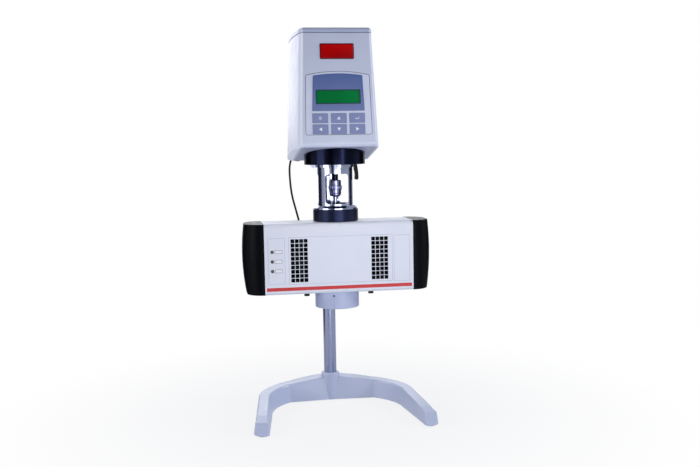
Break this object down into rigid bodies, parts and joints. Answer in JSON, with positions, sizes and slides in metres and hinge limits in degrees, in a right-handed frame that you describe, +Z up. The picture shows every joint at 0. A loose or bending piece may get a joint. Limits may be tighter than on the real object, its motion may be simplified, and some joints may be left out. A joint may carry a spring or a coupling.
{
  "type": "rotational viscometer",
  "caption": "Bench rotational viscometer: display head on a round column in a horseshoe base, with a fan-cooled temperature unit on a windowed tube below it.",
  "frame": {"origin": "on the floor under the middle of the overall outline", "axes": "+Z up, the display faces -Y, +X to the right seen from the front"},
  "size_m": [0.352, 0.288, 0.722],
  "materials": {
    "cast_paint": "satin",
    "head_paint": "satin",
    "lid_paint": "satin",
    "panel_plastic": "matt",
    "label_blue": "satin",
    "screen_green": "gloss",
    "key_blue": "matt",
    "window_red": "gloss",
    "bezel_dark": "satin",
    "rubber_black": "matt",
    "stainless": "polished",
    "chrome_steel": "polished",
    "screw_steel": "satin",
    "black_paint": "gloss",
    "black_anodised": "satin",
    "black_plastic": "satin",
    "board_green": "satin",
    "supply_zinc": "matt",
    "aluminium_raw": "satin",
    "magnet_steel": "matt",
    "copper_iron": "matt",
    "shell_paint": "satin",
    "ceramic_white": "matt",
    "cable_black": "satin",
    "led_amber": "gloss",
    "nickel_shell": "satin"
  },
  "bodies": {
    "frame": {"base_casting": "cast_paint", "bottom_cap": "panel_plastic", "cable_plugs": "cable_black", "cable_sockets": "nickel_shell", "casing_screws": "screw_steel", "clamp_screws": "screw_steel", "column": "stainless", "column_bolt": "screw_steel", "column_clamp": "aluminium_raw", "control_board": "board_green", "cup_block": "aluminium_raw", "display_label": "label_blue", "display_module": "screen_green", "encoder_reader": "black_plastic", "end_caps": "black_paint", "fan_frames": "black_plastic", "head_chassis": "aluminium_raw", "head_housing": "head_paint", "head_lid": "lid_paint", "heat_sinks": "aluminium_raw", "keypad_board": "board_green", "keypad_panel": "panel_plastic", "measuring_cup": "stainless", "motor_housing": "aluminium_raw", "motor_stator": "copper_iron", "mounting_flange": "black_anodised", "peltier_elements": "ceramic_white", "power_entries": "black_plastic", "power_supply": "supply_zinc", "rear_panel": "supply_zinc", "rubber_feet": "rubber_black", "seat_ring": "black_anodised", "sensor_cable": "cable_black", "serial_socket": "nickel_shell", "signal_window": "window_red", "spindle_bearings": "screw_steel", "status_lights": "led_amber", "underside_plate": "head_paint", "unit_front_shell": "shell_paint", "unit_rear_shell": "shell_paint", "window_bezel": "bezel_dark", "window_tube": "chrome_steel"},
    "spindle": {"drive_shaft": "stainless", "motor_rotor": "magnet_steel", "encoder_disc": "stainless", "coupling_body": "stainless", "measuring_bob": "stainless"},
    "release_sleeve": {"coupling_sleeve": "stainless"},
    "clamp": {"clamp_ring": "chrome_steel", "locking_lever": "black_plastic"},
    "left_fan": {"left_fan_rotor": "black_plastic"},
    "right_fan": {"right_fan_rotor": "black_plastic"},
    "head_switch": {"power_rocker": "black_plastic"},
    "unit_switch": {"unit_rocker": "black_plastic"},
    "body_start_key": {"start_key": "key_blue"},
    "body_up_key": {"up_key": "key_blue"},
    "body_enter_key": {"enter_key": "key_blue"},
    "body_left_key": {"left_key": "key_blue"},
    "body_down_key": {"down_key": "key_blue"},
    "body_right_key": {"right_key": "key_blue"}
  },
  "joints": [
    {"name": "spindle_spin", "type": "hinge", "parent": "frame", "child": "spindle", "pos_m": [0, -0.0245, 0.5], "axis": [0, 0, 1], "continuous": true},
    {"name": "sleeve_release", "type": "slide", "parent": "spindle", "child": "release_sleeve", "axis": [0, 0, 1], "range_m": [0, 0.005], "stiffness_N_per_m": 600},
    {"name": "clamp_turn", "type": "hinge", "parent": "frame", "child": "clamp", "pos_m": [0, -0.0245, 0.474], "axis": [0, 0, 1], "range_deg": [0, 55]},
    {"name": "left_fan_spin", "type": "hinge", "parent": "frame", "child": "left_fan", "pos_m": [-0.0746, -0.0545, 0.3037], "axis": [0, 1, 0], "continuous": true},
    {"name": "right_fan_spin", "type": "hinge", "parent": "frame", "child": "right_fan", "pos_m": [0.0746, -0.0545, 0.3037], "axis": [0, 1, 0], "continuous": true},
    {"name": "head_switch_rock", "type": "hinge", "parent": "frame", "child": "head_switch", "pos_m": [-0.026, 0.1255, 0.661], "axis": [1, 0, 0], "range_deg": [0, 14]},
    {"name": "unit_switch_rock", "type": "hinge", "parent": "frame", "child": "unit_switch", "pos_m": [0.112, 0.0201, 0.297], "axis": [1, 0, 0], "range_deg": [0, 14]},
    {"name": "start_key_press", "type": "slide", "parent": "frame", "child": "body_start_key", "axis": [0, 0.9969, -0.0793], "range_m": [0, 0.0006], "stiffness_N_per_m": 800},
    {"name": "up_key_press", "type": "slide", "parent": "frame", "child": "body_up_key", "axis": [0, 0.9969, -0.0793], "range_m": [0, 0.0006], "stiffness_N_per_m": 800},
    {"name": "enter_key_press", "type": "slide", "parent": "frame", "child": "body_enter_key", "axis": [0, 0.9969, -0.0793], "range_m": [0, 0.0006], "stiffness_N_per_m": 800},
    {"name": "left_key_press", "type": "slide", "parent": "frame", "child": "body_left_key", "axis": [0, 0.9969, -0.0793], "range_m": [0, 0.0006], "stiffness_N_per_m": 800},
    {"name": "down_key_press", "type": "slide", "parent": "frame", "child": "body_down_key", "axis": [0, 0.9969, -0.0793], "range_m": [0, 0.0006], "stiffness_N_per_m": 800},
    {"name": "right_key_press", "type": "slide", "parent": "frame", "child": "body_right_key", "axis": [0, 0.9969, -0.0793], "range_m": [0, 0.0006], "stiffness_N_per_m": 800}
  ]
}
